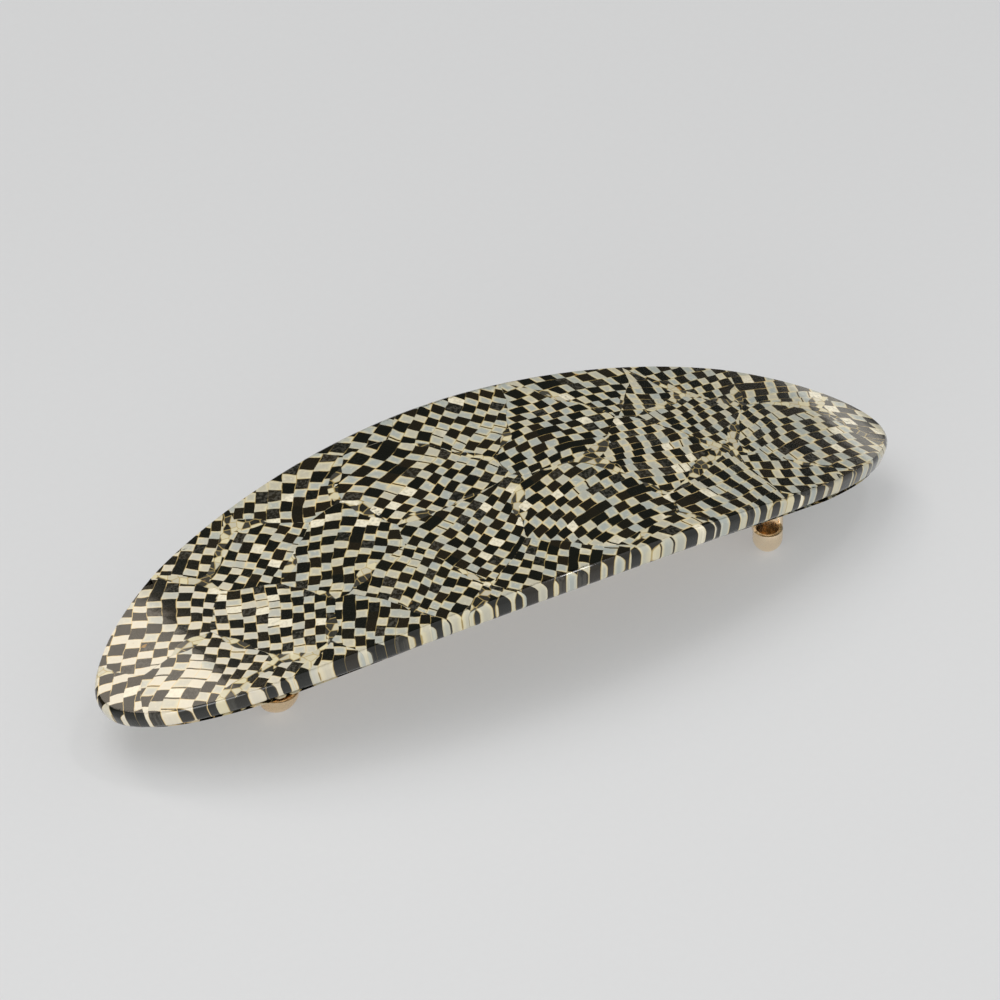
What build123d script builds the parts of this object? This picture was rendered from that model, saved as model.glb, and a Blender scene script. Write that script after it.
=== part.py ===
from build123d import *
from math import copysign, cos, pi, sin, sqrt, tan
import os

# Oval hair barrette: a domed cellulose-acetate plate riveted to an arched spring clip.
# Millimetres. +X runs along the plate towards the latch, +Z points out of the plate's crown.
# The origin is the centre of the footprint, on the surface that the clip's feet stand on.

# Plate
PLATE_HALF_LENGTH = 55.5      # along the bend, from the crown to a tip
PLATE_HALF_WIDTH = 19.1
PLATE_THICKNESS = 2.8
PLATE_EXPONENT = 1.89         # 2 would be an ellipse, a little less draws the tips in
PLATE_EDGE_RADIUS = 0.9
ARCH_RADIUS = 136.0           # bend of the plate's middle layer
CLIP_DEPTH = 11.95            # drop from the plate's underside to the feet, at the feet
FEET_X = 33.4                 # station of the feet, between the ears' dishes and the finger cups
OUTLINE_STEPS = 12            # curve points in a quarter of the outline

# Base bar, a strip that lies against the plate's underside
BASE_WIDTH = 8.0
BASE_THICKNESS = 0.8
BASE_HALF_LENGTH = 38.5

# Hinge: two dished ears, folded down from the base bar's edges, that hold a headed pin
EAR_X = -32.0
EAR_THICKNESS = 0.6
EAR_HALF_WIDTH = 2.7
EAR_DISH_REACH = 1.9          # how far the dish bulges from the ear's inner face
EAR_DISH_RIM = 2.8
PIN_RADIUS = 0.8
PIN_HEIGHT = 4.0
PIN_HEAD_RADIUS = 1.1
PIN_HEAD_THICKNESS = 0.45
PIN_HEAD_CHAMFER = 0.15
CUP_WALL = 0.45               # wall of the dishes and of the finger cups

# Closing bar, which swings on the pin and snaps over the latch
BAR_WIDTH = 6.4
BAR_THICKNESS = 0.7
BAR_END_X = 31.4
BAR_END_HEIGHT = 2.3          # underside at both ends
BAR_RISE = 2.2                # underside's rise in the middle
BAR_CORNER_RADIUS = 1.6
BARREL_RADIUS = 1.45
WINDOW_START_X = 26.9
WINDOW_END_X = 29.9
WINDOW_RAIL = 0.75            # bar left beside the window
WINDOW_CORNER_RADIUS = 0.375

# Tension bow, hooked into the base bar at the hinge end
BOW_WIDTH = 5.0
BOW_THICKNESS = 0.4
BOW_START_X = -29.3
BOW_END_X = 25.5
BOW_START_HEIGHT = 11.3       # underside at the hooked end
BOW_END_HEIGHT = 9.8          # underside at the free end
BOW_SAG = 0.35
BOW_HOOK_WIDTH = 3.2
BOW_CORNER_RADIUS = 1.0

# Latch: a foot and end wall of sheet, and two springy wings that are pinched together
LATCH_SHEET = 0.5
LATCH_FOOT_START_X = 30.6
LATCH_FOOT_WIDTH = 6.4
WING_AXIS_X = 36.5
WING_AXIS_Y = 5.5
WING_KNUCKLE_RADIUS = 0.45
WING_TOP = 7.2
WALL_BOTTOM = 1.2
FINGER_Y = 1.75
FINGER_LENGTH = 1.6
BARB_HEIGHT = 0.7
FINGER_DROP = 0.7             # how far a finger reaches below the closing bar
CUP_X = 34.6
CUP_RADIUS = 1.85
CUP_REACH = 2.5               # how far the cup bulges from the arm's inner face
CUP_RIM = 3.2

# Rivets
RIVET_X = 20.0
RIVET_RADIUS = 0.8
RIVET_DEPTH = 1.6             # into the plate's underside
RIVET_HEAD_RADIUS = 1.6
RIVET_HEAD_THICKNESS = 0.55
RIVET_DOME_SHARE = 0.8        # how much of a head's thickness is rounded
LATCH_RIVET_X = 33.6
LATCH_RIVET_RADIUS = 0.7
LATCH_RIVET_HEAD_RADIUS = 1.3
LATCH_RIVET_HEAD_THICKNESS = 0.5

# Clearances
RUNNING = 0.05                # radial, pin in barrel and knuckle beside wall
SEAT_GAP = 0.04               # plate to base bar, base bar to latch foot
RIVET_FIT = 0.04              # radial, rivets and pin in their holes
SIDE_GAP = 0.2                # sideways, barrel between the ears and hook under the plate
SLOT_GAP = 0.15               # all round the bow's hook
BARB_GAP = 0.15               # barb to the window's edge
FINGER_GAP = 0.7              # finger to each end of the window
ABOVE_BAR = 0.9               # latch arm over the closing bar's end

# Worked-out frame of the arch
UNDER_RADIUS = ARCH_RADIUS - PLATE_THICKNESS / 2
TOP_RADIUS = ARCH_RADIUS + PLATE_THICKNESS / 2
BASE_TOP_RADIUS = UNDER_RADIUS - SEAT_GAP
BASE_UNDER_RADIUS = BASE_TOP_RADIUS - BASE_THICKNESS
FOOT_TOP_RADIUS = BASE_UNDER_RADIUS - SEAT_GAP
mounting_grip = SEAT_GAP + BASE_THICKNESS + RIVET_FIT
latch_grip = mounting_grip + SEAT_GAP + LATCH_SHEET
AXIS_HEIGHT = CLIP_DEPTH - sqrt(UNDER_RADIUS**2 - FEET_X**2)
TALL = 60.0                   # longer than any cut needs


def arch_height(radius: float, x: float) -> float:
    """Height at station x of an arc about the plate's bend axis."""
    return AXIS_HEIGHT + sqrt(radius**2 - x**2)


def seat_plane(x: float, below: float = 0.0) -> Plane:
    """Plane square to the bend, on or below the plate's underside at station x."""
    rise = sqrt(UNDER_RADIUS**2 - x**2)
    seat = Plane(origin=(x, 0, AXIS_HEIGHT + rise), x_dir=(rise, 0, -x), z_dir=(x, 0, rise))
    return seat.offset(-below)


def arc_radius(span: float, rise: float) -> float:
    """Radius of an arc with this chord and rise."""
    return ((span / 2) ** 2 + rise**2) / (2 * rise)


def outline_point(turn: float, height: float) -> tuple[float, float]:
    """Point of the bent plate's outline where its radial wall crosses a level plane."""
    along = PLATE_HALF_LENGTH * copysign(abs(cos(turn)) ** (2 / PLATE_EXPONENT), cos(turn))
    across = PLATE_HALF_WIDTH * copysign(abs(sin(turn)) ** (2 / PLATE_EXPONENT), sin(turn))
    return ((height - AXIS_HEIGHT) * tan(along / ARCH_RADIUS), across)


def outline_at(height: float) -> list[tuple[float, float]]:
    """Outline of the plate's radial wall on a level plane."""
    steps = 4 * OUTLINE_STEPS
    return [outline_point(2 * pi * (step + 0.5) / steps, height) for step in range(steps)]


def arched_band(outer_radius: float, thickness: float, start_x: float, end_x: float) -> Sketch:
    """Side view of a strip bent with the plate, between two stations."""
    with BuildSketch(Plane.XZ) as band:
        with Locations((0, AXIS_HEIGHT)):
            Circle(outer_radius)
            Circle(outer_radius - thickness, mode=Mode.SUBTRACT)
        with Locations(((start_x + end_x) / 2, AXIS_HEIGHT + outer_radius)):
            Rectangle(end_x - start_x, outer_radius, mode=Mode.INTERSECT)
    return band.sketch


def bowl_half(x: float, centre_y: float, rim: float, reach: float, foot: float, back: float) -> Part:
    """Solid round-bottomed bowl, centred a foot's height up and kept on the +Y side of back."""
    with BuildPart() as bowl:
        with BuildSketch(Plane(origin=(x, centre_y, foot), x_dir=(1, 0, 0), z_dir=(0, -1, 0))):
            with BuildLine():
                CenterArc((0, 0), reach, 270, 90)
                Polyline((reach, 0), (reach, rim - foot), (0, rim - foot), (0, -reach))
            make_face()
        revolve(axis=Axis((x, centre_y, 0), (0, 0, 1)), revolution_arc=360)
        split(bisect_by=Plane(origin=(x, back, 0), z_dir=(0, 1, 0)), keep=Keep.TOP)
    return bowl.part


def open_cup(x: float, centre_y: float, rim: float, radius: float, back: float, sheet: float) -> Part:
    """Thin open cup on the +Y side of back, with a flat back of sheet and its foot at height 0."""
    behind = max(0.0, back - centre_y)
    foot = sqrt(radius**2 - behind**2)
    with BuildPart() as cup:
        add(bowl_half(x, centre_y, rim, radius, foot, back))
        add(bowl_half(x, centre_y, rim, radius - CUP_WALL, foot, back + sheet), mode=Mode.SUBTRACT)
    return cup.part


# Acetate plate: cut flat with square walls, then bent, so its walls stay radial
with BuildPart() as acetate_plate:
    for level in (0.0, arch_height(TOP_RADIUS, 0) + PLATE_THICKNESS):
        with BuildSketch(Plane.XY.offset(level)):
            with BuildLine():
                Spline(*outline_at(level), periodic=True)
            make_face()
    loft(ruled=True)
    with BuildSketch(Plane.XZ):
        with Locations((0, AXIS_HEIGHT)):
            Circle(TOP_RADIUS)
            Circle(UNDER_RADIUS, mode=Mode.SUBTRACT)
    extrude(amount=TALL, both=True, mode=Mode.INTERSECT)
    curved = acetate_plate.faces().filter_by(GeomType.CYLINDER)
    fillet(curved.edges(), PLATE_EDGE_RADIUS)
    for station in (-RIVET_X, RIVET_X):
        with BuildSketch(seat_plane(station)):
            Circle(RIVET_RADIUS + RIVET_FIT)
        extrude(amount=RIVET_DEPTH + RIVET_FIT, both=True, mode=Mode.SUBTRACT)

# Base bar with its folded hinge ears, their cupped lips and the holes of the rivets and hook
ear_outer_y = BASE_WIDTH / 2
ear_inner_y = ear_outer_y - EAR_THICKNESS
dish_radius = (EAR_HALF_WIDTH**2 + EAR_DISH_REACH**2) / (2 * EAR_DISH_REACH)
dish_centre_y = ear_inner_y + EAR_DISH_REACH - dish_radius
ear_start = EAR_X - EAR_HALF_WIDTH
ear_rise = arch_height(BASE_TOP_RADIUS - BASE_THICKNESS / 2, ear_start) - EAR_DISH_RIM
base_side = arched_band(BASE_TOP_RADIUS, BASE_THICKNESS, -BASE_HALF_LENGTH, BASE_HALF_LENGTH)
ear_dish = open_cup(EAR_X, dish_centre_y, EAR_DISH_RIM, dish_radius, ear_inner_y, EAR_THICKNESS)
with BuildPart() as base_bar:
    extrude(base_side, amount=BASE_WIDTH / 2, both=True)
    with BuildSketch(Plane.XY):
        SlotOverall(2 * BASE_HALF_LENGTH, BASE_WIDTH)
    extrude(amount=TALL, mode=Mode.INTERSECT)
    for side in (-1, 1):
        with BuildSketch(Plane.XZ.offset(-side * ear_inner_y)):
            with Locations((EAR_X, EAR_DISH_RIM)):
                Rectangle(2 * EAR_HALF_WIDTH, ear_rise, align=(Align.CENTER, Align.MIN))
        extrude(amount=-side * EAR_THICKNESS)
    add(ear_dish)
    mirror(ear_dish, about=Plane.XZ)
    with BuildSketch(Plane.XZ):
        with Locations((EAR_X, PIN_HEIGHT)):
            Circle(PIN_RADIUS + RIVET_FIT)
    extrude(amount=ear_outer_y, both=True, mode=Mode.SUBTRACT)
    for station in (-RIVET_X, RIVET_X):
        with BuildSketch(seat_plane(station)):
            Circle(RIVET_RADIUS + RIVET_FIT)
        extrude(amount=-2 * BASE_THICKNESS, mode=Mode.SUBTRACT)
    with BuildSketch(seat_plane(LATCH_RIVET_X)):
        Circle(LATCH_RIVET_RADIUS + RIVET_FIT)
    extrude(amount=-2 * BASE_THICKNESS, mode=Mode.SUBTRACT)
    with BuildSketch(Plane.XY):
        with Locations((BOW_START_X + BOW_THICKNESS / 2, 0)):
            Rectangle(BOW_THICKNESS + 2 * SLOT_GAP, BOW_HOOK_WIDTH + 2 * SLOT_GAP)
    extrude(amount=TALL, mode=Mode.SUBTRACT)

# Hinge pin, headed inside both cups
pin_grip = ear_outer_y + RIVET_FIT
with BuildPart() as hinge_pin:
    with BuildSketch(Plane.XZ):
        with Locations((EAR_X, PIN_HEIGHT)):
            Circle(PIN_RADIUS)
    extrude(amount=pin_grip, both=True)
    for side in (-1, 1):
        with BuildSketch(Plane.XZ.offset(-side * pin_grip)):
            with Locations((EAR_X, PIN_HEIGHT)):
                Circle(PIN_HEAD_RADIUS)
        extrude(amount=-side * PIN_HEAD_THICKNESS)
    chamfer(
        hinge_pin.faces().sort_by(Axis.Y)[0].edges() + hinge_pin.faces().sort_by(Axis.Y)[-1].edges(),
        PIN_HEAD_CHAMFER,
    )

# Closing bar: a shallow arc from the barrel to the windowed end
bar_span = BAR_END_X - EAR_X
bar_middle = (BAR_END_X + EAR_X) / 2
bar_under_radius = arc_radius(bar_span, BAR_RISE)
bar_axis_height = BAR_END_HEIGHT + BAR_RISE - bar_under_radius
window_half_width = BAR_WIDTH / 2 - WINDOW_RAIL
barrel_half_length = ear_inner_y - SIDE_GAP
with BuildPart() as closing_bar:
    with BuildSketch(Plane.XZ):
        with Locations((bar_middle, bar_axis_height)):
            Circle(bar_under_radius + BAR_THICKNESS)
            Circle(bar_under_radius, mode=Mode.SUBTRACT)
        with Locations((bar_middle, BAR_END_HEIGHT)):
            Rectangle(bar_span, TALL, mode=Mode.INTERSECT)
    extrude(amount=BAR_WIDTH / 2, both=True)
    end_edges = closing_bar.edges().filter_by(Axis.Z).group_by(Axis.X)[-1]
    fillet(end_edges, BAR_CORNER_RADIUS)
    with BuildSketch(Plane.XZ):
        with Locations((EAR_X, PIN_HEIGHT)):
            Circle(BARREL_RADIUS)
    extrude(amount=barrel_half_length, both=True)
    with BuildSketch(Plane.XZ):
        with Locations((EAR_X, PIN_HEIGHT)):
            Circle(PIN_RADIUS + RUNNING)
    extrude(amount=BASE_WIDTH, both=True, mode=Mode.SUBTRACT)
    with BuildSketch(Plane.XY):
        with Locations(((WINDOW_START_X + WINDOW_END_X) / 2, 0)):
            RectangleRounded(WINDOW_END_X - WINDOW_START_X, 2 * window_half_width, WINDOW_CORNER_RADIUS)
    extrude(amount=TALL, mode=Mode.SUBTRACT)

# Tension bow: a thin strip that sags below the base bar, hooked through it at one end
bow_span = BOW_END_X - BOW_START_X
with BuildPart() as tension_bow:
    with BuildSketch(Plane.XZ):
        with BuildLine():
            bow_middle = (
                (BOW_START_X + BOW_END_X) / 2,
                (BOW_START_HEIGHT + BOW_END_HEIGHT) / 2 - BOW_SAG,
            )
            under = ThreePointArc(
                (BOW_START_X, BOW_START_HEIGHT), bow_middle, (BOW_END_X, BOW_END_HEIGHT)
            )
            over = ThreePointArc(
                (BOW_START_X, BOW_START_HEIGHT + BOW_THICKNESS),
                (bow_middle[0], bow_middle[1] + BOW_THICKNESS),
                (BOW_END_X, BOW_END_HEIGHT + BOW_THICKNESS),
            )
            Line(under @ 0, over @ 0)
            Line(under @ 1, over @ 1)
        make_face()
    extrude(amount=BOW_WIDTH / 2, both=True)
    fillet(tension_bow.edges().filter_by(Axis.Z), BOW_CORNER_RADIUS)
    hook_top = arch_height(UNDER_RADIUS, BOW_START_X) - SIDE_GAP
    with BuildSketch(Plane.XY.offset(BOW_START_HEIGHT)):
        with Locations((BOW_START_X + BOW_THICKNESS / 2, 0)):
            Rectangle(BOW_THICKNESS, BOW_HOOK_WIDTH)
    extrude(amount=hook_top - BOW_START_HEIGHT)

# Latch frame: a foot riveted under the base bar, folded down into an end wall
wall_outer_x = WING_AXIS_X + LATCH_SHEET / 2
wall_half_width = WING_AXIS_Y - WING_KNUCKLE_RADIUS - RUNNING
foot_side = arched_band(FOOT_TOP_RADIUS, LATCH_SHEET, LATCH_FOOT_START_X, wall_outer_x)
with BuildPart() as latch_frame:
    extrude(foot_side, amount=LATCH_FOOT_WIDTH / 2, both=True)
    with BuildSketch(Plane.YZ.offset(wall_outer_x - LATCH_SHEET)):
        with Locations((0, WALL_BOTTOM)):
            Rectangle(
                2 * wall_half_width,
                arch_height(FOOT_TOP_RADIUS - LATCH_SHEET / 2, wall_outer_x) - WALL_BOTTOM,
                align=(Align.CENTER, Align.MIN),
            )
    extrude(amount=LATCH_SHEET)
    with BuildSketch(seat_plane(LATCH_RIVET_X)):
        Circle(LATCH_RIVET_RADIUS + RIVET_FIT)
    extrude(amount=-latch_grip - LATCH_SHEET, mode=Mode.SUBTRACT)

# Latch wing: knuckle at the end wall, cup for the finger, arm over the bar, barbed finger
arm_bottom = BAR_END_HEIGHT + BAR_THICKNESS + ABOVE_BAR
finger_start_x = WINDOW_START_X + FINGER_GAP
finger_bottom = BAR_END_HEIGHT - FINGER_DROP
window_clear = window_half_width - BARB_GAP
arm_turn_x = CUP_X - CUP_RADIUS
cup_back_y = WING_AXIS_Y - LATCH_SHEET / 2
cup_centre_y = cup_back_y + CUP_REACH - CUP_RADIUS
finger_cup = open_cup(CUP_X, cup_centre_y, CUP_RIM, CUP_RADIUS, cup_back_y, LATCH_SHEET)
with BuildPart() as latch_wing_back:
    with BuildSketch(Plane.XY.offset(arm_bottom)):
        with BuildLine():
            Polyline(
                (WING_AXIS_X, WING_AXIS_Y),
                (arm_turn_x, WING_AXIS_Y),
                (finger_start_x + FINGER_LENGTH, FINGER_Y),
                (finger_start_x, FINGER_Y),
            )
        trace(line_width=LATCH_SHEET)
    extrude(amount=WING_TOP - arm_bottom)
    with BuildSketch(Plane.XY.offset(WALL_BOTTOM)):
        with Locations((WING_AXIS_X, WING_AXIS_Y)):
            Circle(WING_KNUCKLE_RADIUS)
    extrude(amount=WING_TOP - WALL_BOTTOM)
    with BuildSketch(Plane.XY.offset(finger_bottom)):
        with Locations((finger_start_x + FINGER_LENGTH / 2, FINGER_Y)):
            Rectangle(FINGER_LENGTH, LATCH_SHEET)
    extrude(amount=arm_bottom - finger_bottom)
    with BuildSketch(Plane.YZ.offset(finger_start_x)):
        with BuildLine():
            Polyline(
                (FINGER_Y, finger_bottom),
                (window_clear, finger_bottom + BARB_HEIGHT / 2),
                (window_clear, finger_bottom + BARB_HEIGHT),
                (FINGER_Y, finger_bottom + BARB_HEIGHT),
                close=True,
            )
        make_face()
    extrude(amount=FINGER_LENGTH)
    with BuildSketch(Plane.XZ.offset(-cup_back_y)):
        with Locations((CUP_X, CUP_RIM)):
            Rectangle(2 * CUP_RADIUS, arm_bottom + LATCH_SHEET - CUP_RIM, align=(Align.CENTER, Align.MIN))
    extrude(amount=-LATCH_SHEET)
    add(finger_cup)

with BuildPart() as latch_wing_front:
    mirror(latch_wing_back.part, about=Plane.XZ)


def rivet(plane: Plane, grip: float, radius: float, head_radius: float, head: float) -> Part:
    """Rivet whose domed head lies under a plane and whose shank rises through it."""
    with BuildPart() as made:
        with BuildSketch(plane):
            Circle(radius)
        extrude(amount=grip)
        with BuildSketch(plane):
            Circle(head_radius)
        extrude(amount=-head)
        fillet(made.faces().sort_by(Axis.Z)[0].edges(), head * RIVET_DOME_SHARE)
    return made.part


# Rivets: two blind ones hold the clip to the plate, one holds the latch to the base bar
with BuildPart() as mounting_rivet_hinge_end:
    add(
        rivet(
            seat_plane(-RIVET_X, mounting_grip),
            mounting_grip + RIVET_DEPTH,
            RIVET_RADIUS,
            RIVET_HEAD_RADIUS,
            RIVET_HEAD_THICKNESS,
        )
    )

with BuildPart() as mounting_rivet_latch_end:
    add(
        rivet(
            seat_plane(RIVET_X, mounting_grip),
            mounting_grip + RIVET_DEPTH,
            RIVET_RADIUS,
            RIVET_HEAD_RADIUS,
            RIVET_HEAD_THICKNESS,
        )
    )

with BuildPart() as latch_rivet:
    add(
        rivet(
            seat_plane(LATCH_RIVET_X, latch_grip),
            latch_grip - SEAT_GAP,
            LATCH_RIVET_RADIUS,
            LATCH_RIVET_HEAD_RADIUS,
            LATCH_RIVET_HEAD_THICKNESS,
        )
    )

os.makedirs("parts", exist_ok=True)

acetate_plate.part.label = "acetate_plate"
base_bar.part.label = "base_bar"
hinge_pin.part.label = "hinge_pin"
closing_bar.part.label = "closing_bar"
tension_bow.part.label = "tension_bow"
latch_frame.part.label = "latch_frame"
latch_wing_back.part.label = "latch_wing_back"
latch_wing_front.part.label = "latch_wing_front"
mounting_rivet_hinge_end.part.label = "mounting_rivet_hinge_end"
mounting_rivet_latch_end.part.label = "mounting_rivet_latch_end"
latch_rivet.part.label = "latch_rivet"

export_step(acetate_plate.part, "parts/acetate_plate.step")
export_step(base_bar.part, "parts/base_bar.step")
export_step(hinge_pin.part, "parts/hinge_pin.step")
export_step(closing_bar.part, "parts/closing_bar.step")
export_step(tension_bow.part, "parts/tension_bow.step")
export_step(latch_frame.part, "parts/latch_frame.step")
export_step(latch_wing_back.part, "parts/latch_wing_back.step")
export_step(latch_wing_front.part, "parts/latch_wing_front.step")
export_step(mounting_rivet_hinge_end.part, "parts/mounting_rivet_hinge_end.step")
export_step(mounting_rivet_latch_end.part, "parts/mounting_rivet_latch_end.step")
export_step(latch_rivet.part, "parts/latch_rivet.step")
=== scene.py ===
"""Oval acetate barrette on a metal spring clip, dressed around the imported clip.

Metres throughout. +X runs along the plate towards the latch, +Z out of its crown.
"""

from __future__ import annotations

import logging
import math
from dataclasses import dataclass, field
from enum import Enum

import bpy
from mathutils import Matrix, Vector


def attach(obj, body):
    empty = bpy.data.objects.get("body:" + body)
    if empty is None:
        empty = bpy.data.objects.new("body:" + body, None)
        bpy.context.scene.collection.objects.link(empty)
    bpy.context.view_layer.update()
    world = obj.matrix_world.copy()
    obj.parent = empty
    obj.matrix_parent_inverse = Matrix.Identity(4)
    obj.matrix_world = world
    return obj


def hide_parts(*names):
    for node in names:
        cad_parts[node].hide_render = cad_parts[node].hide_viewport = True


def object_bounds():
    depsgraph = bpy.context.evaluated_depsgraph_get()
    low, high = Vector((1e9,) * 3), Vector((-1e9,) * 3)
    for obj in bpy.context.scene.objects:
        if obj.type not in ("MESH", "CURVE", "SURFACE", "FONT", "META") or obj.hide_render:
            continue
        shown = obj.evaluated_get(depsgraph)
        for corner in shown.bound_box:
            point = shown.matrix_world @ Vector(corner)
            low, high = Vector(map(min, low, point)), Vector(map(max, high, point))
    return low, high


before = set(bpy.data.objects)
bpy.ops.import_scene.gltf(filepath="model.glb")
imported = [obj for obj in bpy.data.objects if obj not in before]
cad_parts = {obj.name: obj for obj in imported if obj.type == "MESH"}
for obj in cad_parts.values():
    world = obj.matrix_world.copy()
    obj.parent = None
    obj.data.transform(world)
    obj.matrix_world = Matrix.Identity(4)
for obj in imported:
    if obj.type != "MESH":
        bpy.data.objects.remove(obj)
CAD_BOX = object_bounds()

LOG = logging.getLogger("barrette")
MM = 0.001
Colour = tuple[float, float, float, float]


class Slot(Enum):
    """Material slots that the record names."""

    ACETATE = "acetate"
    GOLD = "gold_plate"


class Body(Enum):
    """Moving bodies of the clip."""

    CLIP = "clip_body"
    BAR = "closing_bar"
    BOW = "tension_bow"
    WING_FRONT = "wing_front"
    WING_BACK = "wing_back"


# ---------------------------------------------------------------------------
# Node-tree helper
# ---------------------------------------------------------------------------


Socket = bpy.types.NodeSocket


class NodeBench:
    """Small helper that adds and joins shader nodes."""

    COLOUR_MIX_INPUTS = (0, 6, 7)  # a mix node's factor and its two colours
    COLOUR_MIX_OUTPUT = 2
    COLUMNS = 24
    COLUMN_STEP = 190
    ROW_STEP = 260

    def __init__(self, name: str) -> None:
        """Start a node material.

        Args:
            name: The material's name.
        """
        self.material = bpy.data.materials.new(name)
        self.material.use_nodes = True
        self.tree = self.material.node_tree
        self.tree.nodes.clear()
        self.column = 0

    def add(self, kind: str, **settings: object) -> bpy.types.Node:
        """Add one node.

        Args:
            kind: Blender's node type.
            **settings: Attributes to set on the node.

        Returns:
            The new node.
        """
        node = self.tree.nodes.new(kind)
        self.column += 1
        row, column = divmod(self.column, self.COLUMNS)
        node.location = (column * self.COLUMN_STEP, -row * self.ROW_STEP)
        for key, value in settings.items():
            setattr(node, key, value)
        return node

    def feed(self, socket: Socket, source: object) -> None:
        """Link a socket, or set its number, vector or colour.

        Args:
            socket: The input to feed.
            source: An output socket, a constant, or None to leave it alone.
        """
        if isinstance(source, Socket):
            self.tree.links.new(source, socket)
        elif source is not None:
            socket.default_value = source

    def math(
        self, operation: str, first: object, second: object = None, third: object = None
    ) -> Socket:
        """Add a math node.

        Args:
            operation: Blender's name of the sum.
            first: First number or socket.
            second: Second number or socket.
            third: Third number or socket.

        Returns:
            The value.
        """
        node = self.add("ShaderNodeMath", operation=operation)
        for socket, source in zip(node.inputs, (first, second, third)):
            self.feed(socket, source)
        return node.outputs[0]

    def vector_math(self, operation: str, first: object, second: object = None) -> Socket:
        """Add a vector math node.

        Args:
            operation: Blender's name of the sum.
            first: First vector or socket.
            second: Second vector or socket.

        Returns:
            The vector.
        """
        node = self.add("ShaderNodeVectorMath", operation=operation)
        self.feed(node.inputs[0], first)
        self.feed(node.inputs[1], second)
        return node.outputs[0]

    def combine(self, x: object, y: object, z: object = 0.0) -> Socket:
        """Join three numbers into a vector.

        Args:
            x: First number or socket.
            y: Second number or socket.
            z: Third number or socket.

        Returns:
            The vector.
        """
        node = self.add("ShaderNodeCombineXYZ")
        for socket, source in zip(node.inputs, (x, y, z)):
            self.feed(socket, source)
        return node.outputs[0]

    def split(self, vector: object) -> tuple[Socket, Socket, Socket]:
        """Split a vector into its three numbers.

        Args:
            vector: The vector or colour.

        Returns:
            The three numbers.
        """
        node = self.add("ShaderNodeSeparateXYZ")
        self.feed(node.inputs[0], vector)
        return node.outputs[0], node.outputs[1], node.outputs[2]

    def noise(
        self, vector: object, scale: float, detail: float = 2.0, colour: bool = False
    ) -> Socket:
        """Add a noise texture.

        Args:
            vector: Where it is read.
            scale: Swells to a unit of length.
            detail: Octaves of finer noise.
            colour: Whether to give the colour and not the factor.

        Returns:
            The noise.
        """
        node = self.add("ShaderNodeTexNoise", noise_dimensions="3D")
        self.feed(node.inputs["Vector"], vector)
        node.inputs["Scale"].default_value = scale
        node.inputs["Detail"].default_value = detail
        return node.outputs["Color" if colour else "Fac"]

    def white(self, vector: object, colour: bool = False) -> Socket:
        """Add a white-noise node.

        Args:
            vector: Where it is read.
            colour: Whether to give the colour and not the value.

        Returns:
            The noise.
        """
        node = self.add("ShaderNodeTexWhiteNoise", noise_dimensions="3D")
        self.feed(node.inputs["Vector"], vector)
        return node.outputs["Color" if colour else "Value"]

    def cells(
        self, vector: object, scale: float, feature: str = "F1", output: str = "Distance"
    ) -> Socket:
        """Add a Voronoi texture.

        Args:
            vector: Where it is read.
            scale: Cells to a unit of length.
            feature: Blender's name of the measure.
            output: Name of the output to give.

        Returns:
            That output.
        """
        node = self.add("ShaderNodeTexVoronoi", voronoi_dimensions="2D", feature=feature)
        self.feed(node.inputs["Vector"], vector)
        node.inputs["Scale"].default_value = scale
        return node.outputs[output]

    def ramp(
        self, value: object, low: float, high: float, start: float = 0.0, end: float = 1.0
    ) -> Socket:
        """Map a value smoothly from one range to another.

        Args:
            value: The value to map.
            low: Where the result begins to change.
            high: Where it stops.
            start: The result at low.
            end: The result at high.

        Returns:
            The mapped value.
        """
        node = self.add("ShaderNodeMapRange", interpolation_type="SMOOTHSTEP")
        for socket, source in zip(node.inputs, (value, low, high, start, end)):
            self.feed(socket, source)
        return node.outputs[0]

    def mix(self, factor: object, first: object, second: object) -> Socket:
        """Mix two colours.

        Args:
            factor: Share of the second colour.
            first: First colour.
            second: Second colour.

        Returns:
            The mixed colour.
        """
        node = self.add("ShaderNodeMix", data_type="RGBA")
        for index, source in zip(self.COLOUR_MIX_INPUTS, (factor, first, second)):
            self.feed(node.inputs[index], source)
        return node.outputs[self.COLOUR_MIX_OUTPUT]

    def finish(self, shader: bpy.types.Node) -> bpy.types.Material:
        """Join the shader to the output.

        Args:
            shader: The surface shader.

        Returns:
            The material.
        """
        output = self.add("ShaderNodeOutputMaterial")
        self.tree.links.new(shader.outputs[0], output.inputs[0])
        return self.material


# ---------------------------------------------------------------------------
# Finishes
# ---------------------------------------------------------------------------

FLAT_MAP = "flat_sheet"  # the plate's flat length and width in millimetres


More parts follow.
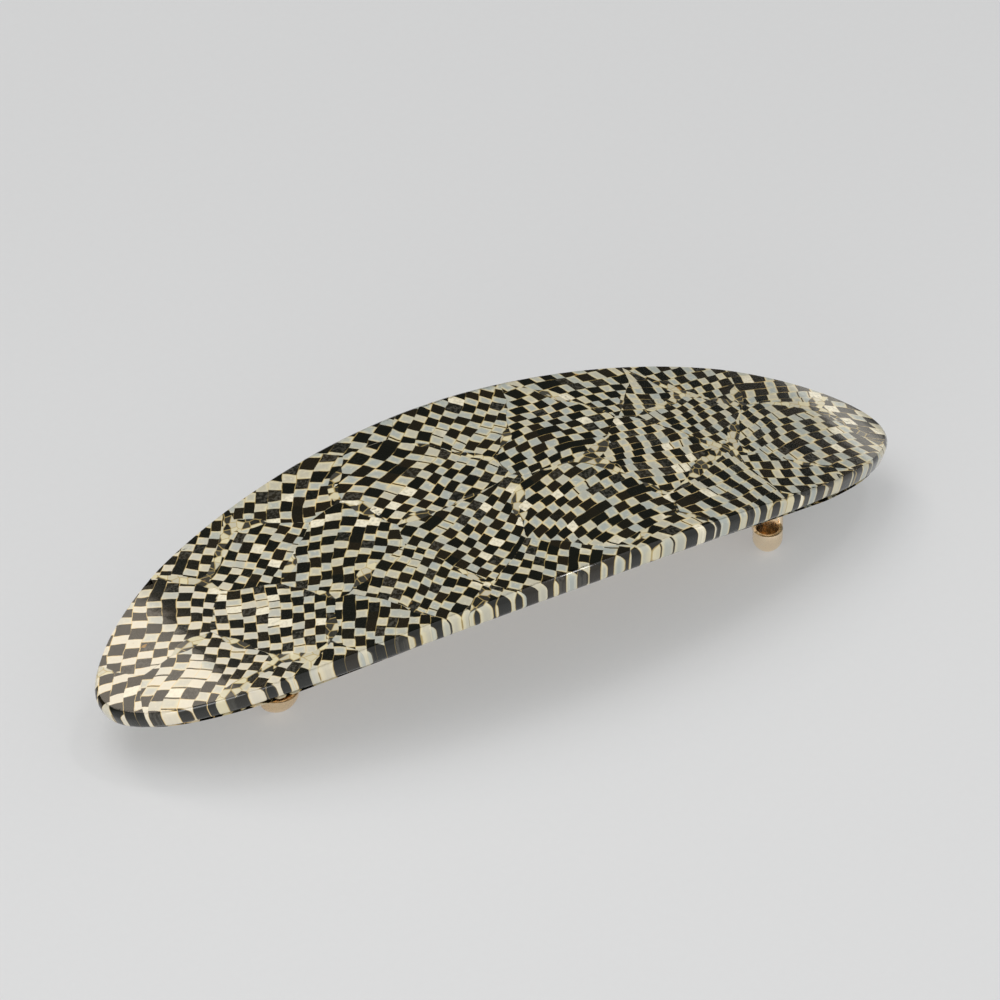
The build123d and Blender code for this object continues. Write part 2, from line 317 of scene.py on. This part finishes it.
@dataclass(frozen=True)
class AcetateMosaic:
    """Polished block acetate: strips of black and pearl cells with gold glue lines.

    Lengths are in millimetres, and every pattern runs in the plate's flat sheet. Only the dents'
    depth is in metres, and angles are in radians.
    """

    cell: float = 1.47
    block: float = 13.0
    sway: float = 3.5
    sway_length: float = 27.0
    ripple: float = 0.55
    ripple_length: float = 6.0
    tremor: float = 0.10
    tremor_length: float = 1.3
    noise_gain: float = 2.6
    slip: float = 0.62
    odd_share: float = 0.045
    crumb: float = 1.05
    dark_crumbs: float = 0.45
    spread: float = 0.075
    lie_from: tuple[float, float] = (-36.0, 34.0)
    lie_angles: tuple[float, float] = (-0.86, -0.06)
    lie_spread: float = 0.62
    lean_from: tuple[float, float] = (14.0, 30.0)
    lean_most: float = 0.5
    grain_length: float = 0.45
    cloud_length: float = 2.2
    wide_cloud_length: float = 14.0
    fault_length: float = 9.0
    fault_reach: float = 0.075
    fault_edge: float = 0.004
    polish_length: float = 4.0
    dent_depth: float = 0.02 * MM
    dent_strength: float = 0.35
    block_offset: float = 9.0
    row_seed: float = 31.0
    cell_seed: float = 17.0
    side_line: tuple[float, float] = (0.008, 0.040)
    end_line: tuple[float, float] = (0.012, 0.046)
    end_line_strength: float = 0.85
    crumb_line: tuple[float, float] = (0.02, 0.09)
    crumb_line_strength: float = 0.8
    amber_strength: float = 0.8
    roughness: tuple[float, float] = (0.20, 0.34)
    specular: float = 0.10
    coat_roughness: float = 0.07
    coat_ior: float = 1.5
    pearl_cold: Colour = (0.43, 0.46, 0.42, 1.0)
    pearl_warm: Colour = (0.58, 0.54, 0.41, 1.0)
    shade: Colour = (0.32, 0.33, 0.27, 1.0)
    cream: Colour = (0.78, 0.70, 0.45, 1.0)
    black: Colour = (0.005, 0.006, 0.003, 1.0)
    tobacco: Colour = (0.016, 0.012, 0.005, 1.0)
    smoke: Colour = (0.075, 0.070, 0.055, 1.0)
    gold_line: Colour = (0.50, 0.37, 0.14, 1.0)
    # brighter gold for the glue lines: painted glare at the left end, and brighter lines in broad
    # patches
    bright_line_gold: Colour = (0.85, 0.62, 0.27, 1.0)
    # painted glare: a warm pale tint over the pearl cells at the left end, where the key light reflects
    painted_glare_tint: Colour = (0.86, 0.77, 0.60, 1.0)
    painted_glare_end: tuple[float, float] = (-46.0, -22.0)
    # painted glint: a bright cream that stands for light glinting off the pearl flakes
    painted_glint: Colour = (0.95, 0.88, 0.68, 1.0)
    amber: Colour = (0.50, 0.26, 0.05, 1.0)

    def wander(self, bench: NodeBench, flat: Socket, reach: float, length: float) -> Socket:
        """Push flat coordinates about by smooth noise.

        Args:
            bench: The node helper.
            flat: Flat coordinates.
            reach: Largest shift.
            length: Size of the noise's swells.

        Returns:
            The shifted coordinates.
        """
        swell = bench.noise(flat, 1.0 / length, 0.0, colour=True)
        centred = bench.vector_math("SUBTRACT", swell, (0.5, 0.5, 0.5))
        gain = self.noise_gain * reach
        shift = bench.vector_math("MULTIPLY", centred, (gain, gain, 0.0))
        return bench.vector_math("ADD", flat, shift)

    def grid(self, bench: NodeBench, flat: Socket) -> dict[str, Socket]:
        """Lay the strips of cells and say where each point falls.

        Args:
            bench: The node helper.
            flat: Flat coordinates.

        Returns:
            Sockets: parity, edge distance, glue line, the cell's random colour, the block's seam
            distance and the swayed coordinates.
        """
        flow = self.wander(bench, flat, self.sway, self.sway_length)
        flow = self.wander(bench, flow, self.ripple, self.ripple_length)
        flow = self.wander(bench, flow, self.tremor, self.tremor_length)
        tint = bench.cells(flow, 1.0 / self.block, output="Color")
        place = bench.cells(flow, 1.0 / self.block, output="Position")
        seam = bench.cells(flow, 1.0 / self.block, "DISTANCE_TO_EDGE")
        first, second, third = bench.split(tint)
        turn = bench.add("ShaderNodeVectorRotate", rotation_type="Z_AXIS")
        bench.feed(turn.inputs["Vector"], flow)
        lie = bench.ramp(bench.split(place)[0], *self.lie_from, *self.lie_angles)
        least = bench.math("SUBTRACT", lie, self.lie_spread / 2)
        angle = bench.math("MULTIPLY_ADD", first, self.lie_spread, least)
        bench.feed(turn.inputs["Angle"], angle)
        across, along, _ = bench.split(turn.outputs[0])
        start = bench.math("MULTIPLY", third, self.block_offset)
        row_place = bench.math("MULTIPLY_ADD", along, 1.0 / self.cell, start)
        row = bench.math("FLOOR", row_place)
        block_x = bench.split(place)[0]
        lean_far = bench.ramp(block_x, *self.lean_from, 0.0, self.lean_most)
        lean = bench.math("ADD", lean_far, bench.math("MULTIPLY_ADD", second, 1.0, -0.5))
        row_key = bench.math("MULTIPLY", first, self.row_seed)
        chance = bench.white(bench.combine(row, row_key))
        start = bench.math("MULTIPLY", second, self.block_offset)
        slip = bench.math("MULTIPLY_ADD", chance, self.slip, start)
        leaned = bench.math("MULTIPLY_ADD", row, lean, slip)
        column_place = bench.math("MULTIPLY_ADD", across, 1.0 / self.cell, leaned)
        column = bench.math("FLOOR", column_place)
        parity = bench.math("PINGPONG", bench.math("ADD", row, column), 1.0)
        cell_key = bench.math("MULTIPLY", first, self.cell_seed)
        own = bench.white(bench.combine(column, row, cell_key), colour=True)
        odd = bench.math("LESS_THAN", bench.split(own)[0], self.odd_share)
        parity = bench.math("ABSOLUTE", bench.math("SUBTRACT", parity, odd))
        side = bench.math("PINGPONG", column_place, 0.5)
        end = bench.math("PINGPONG", row_place, 0.5)
        spread = bench.math("LESS_THAN", side, self.spread)
        side = bench.math("ABSOLUTE", bench.math("SUBTRACT", side, self.spread))
        side_line = bench.ramp(side, *self.side_line, 1.0, 0.0)
        side_line = bench.math("MULTIPLY", side_line, bench.math("SUBTRACT", 1.0, parity))
        end_line = bench.ramp(end, *self.end_line, self.end_line_strength, 0.0)
        return {
            "parity": bench.math("MAXIMUM", parity, spread),
            "edge": bench.math("MINIMUM", side, end),
            "line": bench.math("MAXIMUM", side_line, end_line),
            "own": own,
            "seam": seam,
            "flow": flow,
        }

    def crumbs(self, bench: NodeBench, flow: Socket) -> Socket:
        """Colour the broken, sparkling crumbs that fill the seams.

        Args:
            bench: The node helper.
            flow: The swayed coordinates.

        Returns:
            The crumbs' colour.
        """
        tint = bench.cells(flow, 1.0 / self.crumb, output="Color")
        gap = bench.cells(flow, 1.0 / self.crumb, "DISTANCE_TO_EDGE")
        first, second, _ = bench.split(tint)
        pale = bench.mix(second, self.pearl_warm, self.cream)
        dark = bench.mix(second, self.black, self.smoke)
        body = bench.mix(bench.math("GREATER_THAN", first, self.dark_crumbs), pale, dark)
        line = bench.ramp(gap, *self.crumb_line, self.crumb_line_strength, 0.0)
        return bench.mix(line, body, self.gold_line)

    def build(self) -> bpy.types.Material:
        """Make the material.

        Returns:
            The acetate.
        """
        bench = NodeBench("acetate_mosaic")
        flat = bench.add("ShaderNodeUVMap", uv_map=FLAT_MAP).outputs[0]
        lay = self.grid(bench, flat)
        first, second, third = bench.split(lay["own"])
        grain = bench.noise(flat, 1.0 / self.grain_length, 3.0)
        cloud = bench.noise(flat, 1.0 / self.cloud_length, 2.0)
        cloud_wide = bench.noise(flat, 1.0 / self.wide_cloud_length, 1.0)
        pearl = bench.mix(bench.ramp(second, 0.35, 1.0), self.pearl_cold, self.pearl_warm)
        fringe = bench.ramp(lay["edge"], 0.04, 0.30, 0.75, 0.0)
        pearl = bench.mix(bench.math("MULTIPLY", fringe, bench.ramp(cloud, 0.3, 0.6)), pearl, self.cream)
        # painted sparkle: the brightest grain in the pearl cells takes the glint colour
        pearl = bench.mix(bench.ramp(grain, 0.58, 0.76, 0.0, 0.4), pearl, self.painted_glint)
        pearl = bench.mix(bench.ramp(grain, 0.26, 0.40, 0.25, 0.0), pearl, self.shade)
        # painted glare: towards the left end the pearl cells are tinted warm and pale, standing for the
        # key light's reflection
        left_glare_mask = bench.ramp(bench.split(flat)[0], *self.painted_glare_end, 1.0, 0.0)
        painted_glare_share = bench.math("MULTIPLY", left_glare_mask, bench.ramp(third, 0.0, 0.7, 0.35, 0.85))
        pearl = bench.mix(painted_glare_share, pearl, self.painted_glare_tint)
        dark = bench.mix(bench.ramp(third, 0.3, 1.0), self.black, self.tobacco)
        smoky = bench.ramp(first, 0.80, 0.90)
        smoky = bench.math("MULTIPLY", smoky, bench.ramp(grain, 0.45, 0.60, 0.1, 0.8))
        dark = bench.mix(smoky, dark, self.smoke)
        body = bench.mix(lay["parity"], pearl, dark)
        line = bench.math("MULTIPLY", lay["line"], bench.ramp(cloud, 0.40, 0.60, 0.15, 0.95))
        # the gold lines turn brighter gold as painted glare at the left end, and also in broad patches
        bright_line_share = bench.math("MAXIMUM", left_glare_mask, bench.ramp(cloud_wide, 0.50, 0.62))
        body = bench.mix(line, body, bench.mix(bright_line_share, self.gold_line, self.bright_line_gold))
        zone = bench.noise(flat, 1.0 / self.fault_length, 1.0)
        zone = bench.ramp(zone, 0.44, 0.64, 0.0, self.fault_reach)
        inside = bench.math("SUBTRACT", zone, lay["seam"])
        fault = bench.ramp(inside, -self.fault_edge, self.fault_edge)
        body = bench.mix(fault, body, self.crumbs(bench, lay["flow"]))
        # painted glint: some pearl cells in broad patches turn bright cream, as if catching the light
        painted_glint = bench.ramp(second, 0.80, 0.84)
        painted_glint = bench.math("MULTIPLY", painted_glint, bench.ramp(cloud_wide, 0.50, 0.56))
        painted_glint = bench.math("MULTIPLY", painted_glint, bench.ramp(grain, 0.30, 0.62, 0.35, 1.0))
        painted_glint = bench.math("MULTIPLY", painted_glint, bench.math("SUBTRACT", 1.0, lay["parity"]))
        body = bench.mix(painted_glint, body, self.painted_glint)
        spot = bench.ramp(cloud, 0.70, 0.76)
        spot = bench.math("MULTIPLY", spot, bench.ramp(cloud_wide, 0.46, 0.40))
        spot = bench.math("MULTIPLY", spot, self.amber_strength)
        body = bench.mix(spot, body, self.amber)
        shader = bench.add("ShaderNodeBsdfPrincipled")
        bench.feed(shader.inputs["Base Color"], body)
        bench.feed(shader.inputs["Roughness"], bench.ramp(grain, 0.2, 0.8, *self.roughness))
        shader.inputs["Specular IOR Level"].default_value = self.specular
        shader.inputs["Coat Weight"].default_value = 1.0
        shader.inputs["Coat Roughness"].default_value = self.coat_roughness
        shader.inputs["Coat IOR"].default_value = self.coat_ior
        bump = bench.add("ShaderNodeBump")
        bump.inputs["Strength"].default_value = self.dent_strength
        bump.inputs["Distance"].default_value = self.dent_depth
        swell = bench.noise(flat, 1.0 / self.polish_length, 1.0)
        polish = bench.math("MULTIPLY_ADD", lay["edge"], 0.5, swell)
        bench.feed(bump.inputs["Height"], polish)
        bench.feed(shader.inputs["Normal"], bump.outputs[0])
        bench.feed(shader.inputs["Coat Normal"], bump.outputs[0])
        return bench.finish(shader)


@dataclass(frozen=True)
class GoldPlating:
    """Pale gold plating over pressed steel, brushed along one axis."""

    name: str
    tint: Colour = (0.95, 0.76, 0.52, 1.0)
    worn: Colour = (0.93, 0.85, 0.72, 1.0)
    deep: Colour = (0.86, 0.62, 0.37, 1.0)
    smooth: float = 0.17
    rough: float = 0.30
    brushing: tuple[float, float, float] = (0.03, 1.0, 1.0)
    brush_scale: float = 9000.0
    cloud_scale: float = 190.0
    speck_scale: float = 2400.0
    scratch_depth: float = 0.006 * MM
    scratch_strength: float = 0.10

    def build(self) -> bpy.types.Material:
        """Make the material.

        Returns:
            The plated metal.
        """
        bench = NodeBench(self.name)
        place = bench.add("ShaderNodeTexCoord").outputs["Object"]
        stretched = bench.vector_math("MULTIPLY", place, self.brushing)
        brushed = bench.noise(stretched, self.brush_scale, 3.0)
        cloud = bench.noise(place, self.cloud_scale, 2.0)
        speck = bench.noise(place, self.speck_scale, 2.0)
        tone = bench.mix(bench.ramp(cloud, 0.35, 0.68, 0.0, 0.45), self.tint, self.deep)
        tone = bench.mix(bench.ramp(speck, 0.60, 0.78, 0.0, 0.5), tone, self.worn)
        shader = bench.add("ShaderNodeBsdfPrincipled")
        shader.inputs["Metallic"].default_value = 1.0
        bench.feed(shader.inputs["Base Color"], tone)
        streak = bench.math("MULTIPLY_ADD", brushed, 0.5, bench.math("MULTIPLY", cloud, 0.5))
        bench.feed(shader.inputs["Roughness"], bench.ramp(streak, 0.35, 0.65, self.smooth, self.rough))
        bump = bench.add("ShaderNodeBump")
        bump.inputs["Strength"].default_value = self.scratch_strength
        bump.inputs["Distance"].default_value = self.scratch_depth
        bench.feed(bump.inputs["Height"], bench.math("ADD", brushed, cloud))
        bench.feed(shader.inputs["Normal"], bump.outputs[0])
        return bench.finish(shader)


@dataclass(frozen=True)
class PaleFloor:
    """Matt pale grey board under the barrette, painted greyer towards the back and the right as painted
    light falloff, and glowing faintly as painted fill light.
    """

    pale: Colour = (0.50, 0.50, 0.50, 1.0)
    painted_falloff_grey: Colour = (0.40, 0.40, 0.40, 1.0)
    # painted fill light: the board glows faintly, to lift its shadows and light the clip's underside
    painted_fill_glow: float = 0.27
    painted_fill_colour: Colour = (0.965, 0.985, 1.0, 1.0)
    front: float = -0.10
    back: float = 0.16
    skew: float = 0.35
    grain_scale: float = 900.0
    roughness: tuple[float, float] = (0.75, 0.9)
    specular: float = 0.2

    def build(self) -> bpy.types.Material:
        """Make the material.

        Returns:
            The board.
        """
        bench = NodeBench("pale_floor")
        place = bench.add("ShaderNodeTexCoord").outputs["Object"]
        grain = bench.noise(place, self.grain_scale, 3.0)
        across, along, _ = bench.split(place)
        # painted light falloff: the board turns greyer towards the back and the right, where the light
        # falls off
        depth = bench.math("MULTIPLY_ADD", across, self.skew, along)
        fade = bench.ramp(depth, self.front, self.back, 0.1, 0.9)
        tone = bench.math("MULTIPLY_ADD", grain, 0.1, fade)
        shader = bench.add("ShaderNodeBsdfPrincipled")
        bench.feed(shader.inputs["Base Color"], bench.mix(tone, self.pale, self.painted_falloff_grey))
        # painted fill light: emission stands in for light bouncing off the floor
        shader.inputs["Emission Color"].default_value = self.painted_fill_colour
        shader.inputs["Emission Strength"].default_value = self.painted_fill_glow
        bench.feed(shader.inputs["Roughness"], bench.ramp(grain, 0.2, 0.8, *self.roughness))
        shader.inputs["Specular IOR Level"].default_value = self.specular
        return bench.finish(shader)


# ---------------------------------------------------------------------------
# Mesh helpers
# ---------------------------------------------------------------------------


def deselect_all() -> None:
    """Leave edit mode and deselect every object."""
    if bpy.context.object and bpy.context.object.mode != "OBJECT":
        bpy.ops.object.mode_set(mode="OBJECT")
    bpy.ops.object.select_all(action="DESELECT")


def take(piece: bpy.types.Object) -> None:
    """Make a piece the only selected and the active object.

    Args:
        piece: The piece.
    """
    deselect_all()
    piece.select_set(True)
    bpy.context.view_layer.objects.active = piece


def settle(piece: bpy.types.Object, angle: float) -> None:
    """Apply a piece's place, turn its faces outwards and smooth it.

    Args:
        piece: The finished piece.
        angle: Sharpest angle that is smoothed, in radians.
    """
    take(piece)
    bpy.ops.object.transform_apply(location=True, rotation=True, scale=True)
    bpy.ops.object.mode_set(mode="EDIT")
    bpy.ops.mesh.select_all(action="SELECT")
    bpy.ops.mesh.normals_make_consistent(inside=False)
    bpy.ops.object.mode_set(mode="OBJECT")
    bpy.ops.object.shade_smooth_by_angle(angle=angle)


def apply_modifiers(piece: bpy.types.Object) -> None:
    """Apply every modifier of a piece in order.

    Args:
        piece: The piece.
    """
    take(piece)
    for modifier in list(piece.modifiers):
        bpy.ops.object.modifier_apply(modifier=modifier.name)


def hand_over(piece: bpy.types.Object, body: Body, nodes: tuple[str, ...]) -> None:
    """Put a finished piece on its body in place of its CAD nodes.

    Args:
        piece: The finished piece.
        body: The body that it moves with.
        nodes: The CAD nodes that it stands for.
    """
    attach(piece, body.value)
    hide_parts(*nodes)
    LOG.info("%s rides on %s, %d faces", piece.name, body.value, len(piece.data.polygons))


# ---------------------------------------------------------------------------
# Plate
# ---------------------------------------------------------------------------


@dataclass
class AcetatePlate:
    """Oval plate cut from flat sheet, rounded at its rims and bent into an arch.

    Lengths are in metres, and angles in radians. The bake map's values are shares of its side: the
    plate's length, the heights of the top, the underside and the wall's strip, half the strip's
    length, and how much the strip is stretched across.
    """

    finish: bpy.types.Material
    half_length: float = 55.5 * MM
    half_width: float = 19.1 * MM
    thickness: float = 2.8 * MM
    exponent: float = 1.89
    rim_radius: float = 0.9 * MM
    bend_radius: float = 136.0 * MM
    columns: int = 150
    rows: int = 52
    rim_steps: int = 5
    rim_angle: float = math.radians(60)
    bake_length: float = 0.96
    bake_top: float = 0.81
    bake_under: float = 0.47
    bake_wall: float = 0.15
    bake_wall_half: float = 0.48
    bake_wall_stretch: float = 4.0
    level_enough: float = 0.5
    smooth_angle: float = math.radians(40)
    piece: bpy.types.Object | None = field(default=None, init=False)

    def outline(self, x: float, y: float) -> tuple[float, float]:
        """Map a point of a square of side 2 into the oval.

        Args:
            x: From -1 to 1 along the plate.
            y: From -1 to 1 across it.

        Returns:
            The point's flat place on the sheet.
        """
        disc_x = x * math.sqrt(1.0 - y * y / 2.0)
        disc_y = y * math.sqrt(1.0 - x * x / 2.0)
        reach = math.hypot(disc_x, disc_y)
        if reach == 0.0:
            return 0.0, 0.0
        cosine, sine = disc_x / reach, disc_y / reach
        power = 2.0 / self.exponent
        along = math.copysign(abs(cosine) ** power, cosine) * reach
        across = math.copysign(abs(sine) ** power, sine) * reach
        return along * self.half_length, across * self.half_width

    def cut_sheet(self) -> None:
        """Cut the oval from sheet with square walls."""
        deselect_all()
        bpy.ops.mesh.primitive_grid_add(
            x_subdivisions=self.columns, y_subdivisions=self.rows, size=2.0, location=(0, 0, 0)
        )
        self.piece = bpy.context.object
        self.piece.name = "acetate_plate_polished"
        for vertex in self.piece.data.vertices:
            x, y = self.outline(vertex.co.x, vertex.co.y)
            vertex.co = (x, y, -self.thickness / 2)
        bpy.ops.object.mode_set(mode="EDIT")
        bpy.ops.mesh.select_all(action="SELECT")
        bpy.ops.mesh.extrude_region_move(TRANSFORM_OT_translate={"value": (0, 0, self.thickness)})
        bpy.ops.mesh.select_all(action="SELECT")
        bpy.ops.mesh.normals_make_consistent(inside=False)
        bpy.ops.object.mode_set(mode="OBJECT")

    def round_rims(self) -> None:
        """Round the two rims, as tumbling and polishing leave them."""
        take(self.piece)
        rim = self.piece.modifiers.new("rim", "BEVEL")
        rim.width = self.rim_radius
        rim.segments = self.rim_steps
        rim.limit_method = "ANGLE"
        rim.angle_limit = self.rim_angle
        rim.use_clamp_overlap = False
        apply_modifiers(self.piece)

    def write_flat_map(self) -> None:
        """Write each corner's flat place, in millimetres, as a UV map."""
        mesh = self.piece.data
        layer = mesh.uv_layers.new(name=FLAT_MAP)
        for loop in mesh.loops:
            place = mesh.vertices[loop.vertex_index].co
            layer.data[loop.index].uv = (place.x / MM, place.y / MM)

    def write_bake_map(self) -> None:
        """Write an unwrapped UV map: top, underside and a strip for the wall."""
        mesh = self.piece.data
        layer = mesh.uv_layers.new(name="OFBake")
        per_metre = self.bake_length / (2 * self.half_length)
        for face in mesh.polygons:
            level = face.normal.z
            turn = math.atan2(face.center.y / self.half_width, face.center.x / self.half_length)
            for index in face.loop_indices:
                place = mesh.vertices[mesh.loops[index].vertex_index].co
                if abs(level) > self.level_enough:
                    middle = self.bake_top if level > 0 else self.bake_under
                    spot = (0.5 + place.x * per_metre, middle + place.y * per_metre)
                else:
                    own = math.atan2(place.y / self.half_width, place.x / self.half_length)
                    own = turn + math.remainder(own - turn, math.tau)
                    height = place.z * per_metre * self.bake_wall_stretch
                    spot = (0.5 + self.bake_wall_half * own / math.pi, self.bake_wall + height)
                layer.data[index].uv = spot

    def bend(self) -> None:
        """Bend the flat sheet about the arch's axis and set it on its crown."""
        crown = CAD_BOX[1][2] - self.thickness / 2
        for vertex in self.piece.data.vertices:
            turn = vertex.co.x / self.bend_radius
            radius = self.bend_radius + vertex.co.z
            vertex.co.x = radius * math.sin(turn)
            vertex.co.z = crown - self.bend_radius + radius * math.cos(turn)

    def build(self) -> None:
        """Make, dress and hand over the plate."""
        self.cut_sheet()
        self.round_rims()
        self.write_flat_map()
        self.write_bake_map()
        self.bend()
        settle(self.piece, self.smooth_angle)
        self.piece.data.materials.clear()
        self.piece.data.materials.append(self.finish)
        hand_over(self.piece, Body.CLIP, ("acetate_plate",))


# ---------------------------------------------------------------------------
# Clip
# ---------------------------------------------------------------------------


@dataclass
class SpringClip:
    """Plated spring clip: each CAD node is eased at its edges and plated.

    Lengths are in metres, and angles in radians.
    """

    strip_finish: bpy.types.Material
    # painted light: the pressed parts' plating is a paler, brighter copy, so that the latch cup looks
    # lit
    pressed_painted_lit_finish: bpy.types.Material
    polished_finish: bpy.types.Material
    sheet_edge: float = 0.08 * MM
    edge_steps: int = 2
    weld: float = 0.002 * MM
    flat_angle: float = math.radians(0.6)
    sharp_angle: float = math.radians(35)
    smooth_angle: float = math.radians(32)

    def ease(self, node: str, body: Body, finish: bpy.types.Material) -> None:
        """Copy a node, ease its sharp edges and let the copy stand for it.

        Args:
            node: The CAD node's name.
            body: The body that it rides on.
            finish: The plating that it gets.
        """
        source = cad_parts[node]
        deselect_all()
        piece = bpy.data.objects.new(node + "_plated", source.data.copy())
        bpy.context.collection.objects.link(piece)
        take(piece)
        bpy.ops.object.mode_set(mode="EDIT")
        bpy.ops.mesh.select_all(action="SELECT")
        bpy.ops.mesh.remove_doubles(threshold=self.weld)
        bpy.ops.mesh.dissolve_limited(angle_limit=self.flat_angle)
        bpy.ops.object.mode_set(mode="OBJECT")
        bevel = piece.modifiers.new("ease", "BEVEL")
        bevel.width = self.sheet_edge
        bevel.segments = self.edge_steps
        bevel.limit_method = "ANGLE"
        bevel.angle_limit = self.sharp_angle
        apply_modifiers(piece)
        bpy.ops.object.shade_smooth_by_angle(angle=self.smooth_angle)
        piece.data.materials.clear()
        piece.data.materials.append(finish)
        hand_over(piece, body, (node,))

    def build(self) -> None:
        """Ease, plate and hand over every piece of the clip."""
        self.ease("base_bar", Body.CLIP, self.strip_finish)
        self.ease("closing_bar", Body.BAR, self.strip_finish)
        self.ease("tension_bow", Body.BOW, self.strip_finish)
        self.ease("latch_frame", Body.CLIP, self.pressed_painted_lit_finish)
        self.ease("latch_wing_front", Body.WING_FRONT, self.pressed_painted_lit_finish)
        self.ease("latch_wing_back", Body.WING_BACK, self.pressed_painted_lit_finish)
        turned = ("hinge_pin", "mounting_rivet_hinge_end", "mounting_rivet_latch_end", "latch_rivet")
        for node in turned:
            self.ease(node, Body.CLIP, self.polished_finish)


# ---------------------------------------------------------------------------
# Studio
# ---------------------------------------------------------------------------


@dataclass(frozen=True)
class SoftLight:
    """Rectangular soft light that looks at the crown."""

    name: str
    direction: tuple[float, float, float]
    distance: float
    width: float
    height: float
    power: float
    colour: tuple[float, float, float] = (1.0, 1.0, 1.0)

    def hang(self, target: Vector) -> None:
        """Hang the light.

        Args:
            target: The point that it looks at.
        """
        data = bpy.data.lights.new(self.name, "AREA")
        data.shape = "RECTANGLE"
        data.size = self.width
        data.size_y = self.height
        data.energy = self.power
        data.color = self.colour
        lamp = bpy.data.objects.new(self.name, data)
        bpy.context.collection.objects.link(lamp)
        way = Vector(self.direction).normalized()
        lamp.location = target + way * self.distance
        lamp.rotation_euler = way.to_track_quat("Z", "Y").to_euler()


@dataclass
class Studio:
    """Pale floor, soft lights and the camera.

    The camera's azimuth and elevation are in degrees, and its lens and sensor in millimetres.
    """

    floor_finish: bpy.types.Material
    azimuth: float = -30.14
    elevation: float = 37.96
    distance: float = 1.211
    lens: float = 364.0
    shift: tuple[float, float] = (0.0028, -0.0032)
    floor_size: float = 6.0
    tent_front: float = 0.64
    tent_back: float = 0.06
    tent_seen: float = 0.62
    tent_fade: tuple[float, float] = (0.18, 0.52)
    sensor: float = 36.0
    clip_range: tuple[float, float] = (0.05, 20.0)
    target_drop: float = 1.4 * MM
    lights: tuple[SoftLight, ...] = (
        SoftLight("key_above", (-0.25, 0.18, 0.95), 1.4, 1.5, 0.9, 7.6),
        SoftLight("warm_card", (-0.19, 0.68, 0.71), 1.2, 0.20, 0.50, 0.90, (1.0, 0.88, 0.74)),
        SoftLight("low_left", (-0.70, -0.68, 0.22), 1.2, 0.70, 0.35, 3.4),
        SoftLight("overhead_strip", (0.40, 0.03, 0.92), 1.4, 0.30, 0.10, 1.3),
        SoftLight("strip_right", (0.71, 0.68, 0.15), 1.2, 0.20, 0.08, 0.08, (1.0, 0.95, 0.86)),
    )

    def lay_floor(self) -> None:
        """Lay the floor."""
        deselect_all()
        bpy.ops.mesh.primitive_plane_add(size=self.floor_size, location=(0, 0, 0))
        floor = bpy.context.object
        floor.name = "floor"
        floor.data.materials.append(self.floor_finish)

    def hang_tent(self) -> None:
        """Surround the stage with a white tent that is dark at the back."""
        world = bpy.data.worlds.new("tent")
        world.use_nodes = True
        tree = world.node_tree
        place = tree.nodes.new("ShaderNodeTexCoord")
        split = tree.nodes.new("ShaderNodeSeparateXYZ")
        fade = tree.nodes.new("ShaderNodeMapRange")
        fade.interpolation_type = "SMOOTHSTEP"
        levels = (*self.tent_fade, self.tent_front, self.tent_back)
        for socket, value in zip(fade.inputs[1:5], levels):
            socket.default_value = value
        background = tree.nodes["Background"]
        background.inputs[0].default_value = (1.0, 1.0, 1.0, 1.0)
        tree.links.new(place.outputs["Generated"], split.inputs[0])
        tree.links.new(split.outputs[1], fade.inputs[0])
        path = tree.nodes.new("ShaderNodeLightPath")
        seen = tree.nodes.new("ShaderNodeMix")
        seen.inputs[3].default_value = self.tent_seen
        tree.links.new(path.outputs["Is Camera Ray"], seen.inputs[0])
        tree.links.new(fade.outputs[0], seen.inputs[2])
        tree.links.new(seen.outputs[0], background.inputs[1])
        bpy.context.scene.world = world

    def set_camera(self, target: Vector) -> None:
        """Place the camera.

        Args:
            target: The point that it looks at.
        """
        turn, rise = math.radians(self.azimuth), math.radians(self.elevation)
        way = Vector(
            (math.sin(turn) * math.cos(rise), -math.cos(turn) * math.cos(rise), math.sin(rise))
        )
        data = bpy.data.cameras.new("camera")
        data.lens = self.lens
        data.sensor_width = self.sensor
        data.shift_x, data.shift_y = self.shift
        data.clip_start, data.clip_end = self.clip_range
        camera = bpy.data.objects.new("camera", data)
        bpy.context.collection.objects.link(camera)
        camera.location = target + way * self.distance
        camera.rotation_euler = way.to_track_quat("Z", "Y").to_euler()
        bpy.context.scene.camera = camera

    def build(self) -> None:
        """Set up the floor, the lights, the world and the camera."""
        crown = Vector((0.0, 0.0, CAD_BOX[1][2] - self.target_drop))
        self.lay_floor()
        for light in self.lights:
            light.hang(crown)
        self.hang_tent()
        bpy.context.scene.view_settings.view_transform = "Standard"
        self.set_camera(crown)


def main() -> None:
    """Build the barrette and its studio."""
    logging.basicConfig(level=logging.INFO, format="%(name)s: %(message)s")
    AcetatePlate(AcetateMosaic().build()).build()
    SpringClip(
        GoldPlating("gold_strip").build(),
        # painted light: tint and deep are paler than the strip's so the latch cup looks lit; its
        # smoother, differently brushed finish is real
        GoldPlating(
            "gold_pressed_painted_lit",
            tint=(1.0, 0.84, 0.62, 1.0),
            deep=(0.97, 0.74, 0.49, 1.0),
            smooth=0.14,
            rough=0.28,
            brushing=(1.0, 1.0, 0.3),
        ).build(),
        GoldPlating("gold_rivet", brushing=(1.0, 1.0, 1.0), smooth=0.08, rough=0.18).build(),
    ).build()
    Studio(PaleFloor().build()).build()


if __name__ == "__main__":
    main()
